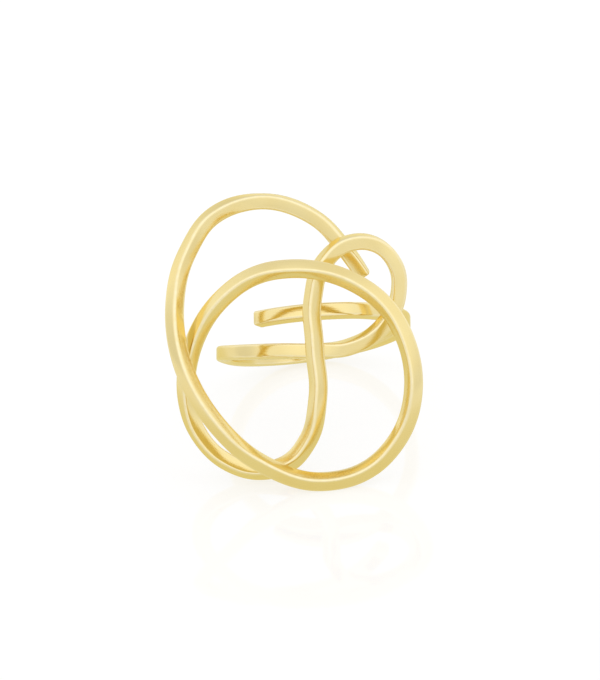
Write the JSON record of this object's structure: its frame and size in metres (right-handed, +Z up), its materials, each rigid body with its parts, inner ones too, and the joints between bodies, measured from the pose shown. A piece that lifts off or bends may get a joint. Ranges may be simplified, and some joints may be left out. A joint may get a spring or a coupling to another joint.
{
  "type": "wire loop band ring",
  "caption": "Finger ring bent from square gold-coloured wire, with open loops in front and a plain wrap round the finger.",
  "frame": {"origin": "on the floor under the middle of the resting ring's box", "axes": "+Z up; the open loops face -Y and lean back, and the wrap touches the floor on the +Y side; +X to the right seen from the loops"},
  "size_m": [0.0254, 0.0278, 0.0248],
  "materials": {
    "gold": "polished gold plate"
  },
  "bodies": {
    "root": {"bent_wire": "gold"}
  },
  "joints": []
}
